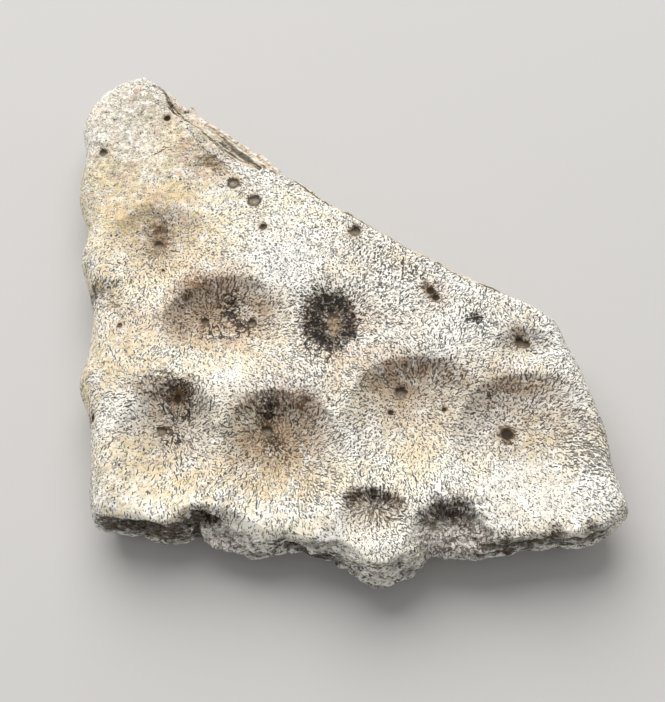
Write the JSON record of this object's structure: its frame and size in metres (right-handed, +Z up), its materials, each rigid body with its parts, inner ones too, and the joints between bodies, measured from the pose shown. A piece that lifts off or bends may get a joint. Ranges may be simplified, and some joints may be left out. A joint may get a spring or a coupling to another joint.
{
  "type": "fossil amphibian scute",
  "caption": "Thick plate of fossil dermal bone: deeply pitted upper face, two natural margins, two broken edges, smooth flat underside.",
  "frame": {"origin": "on the resting face, under the middle of the outline's box", "axes": "+Z up out of the pitted face, +Y towards the narrow tip, +X towards the short natural margin"},
  "size_m": [0.0628, 0.0644, 0.0102],
  "materials": {
    "fossil_bone": "matt, fine-pored, cream with pale tan pit floors and black mineral stains"
  },
  "bodies": {
    "root": {"scute": "fossil_bone"}
  },
  "joints": []
}
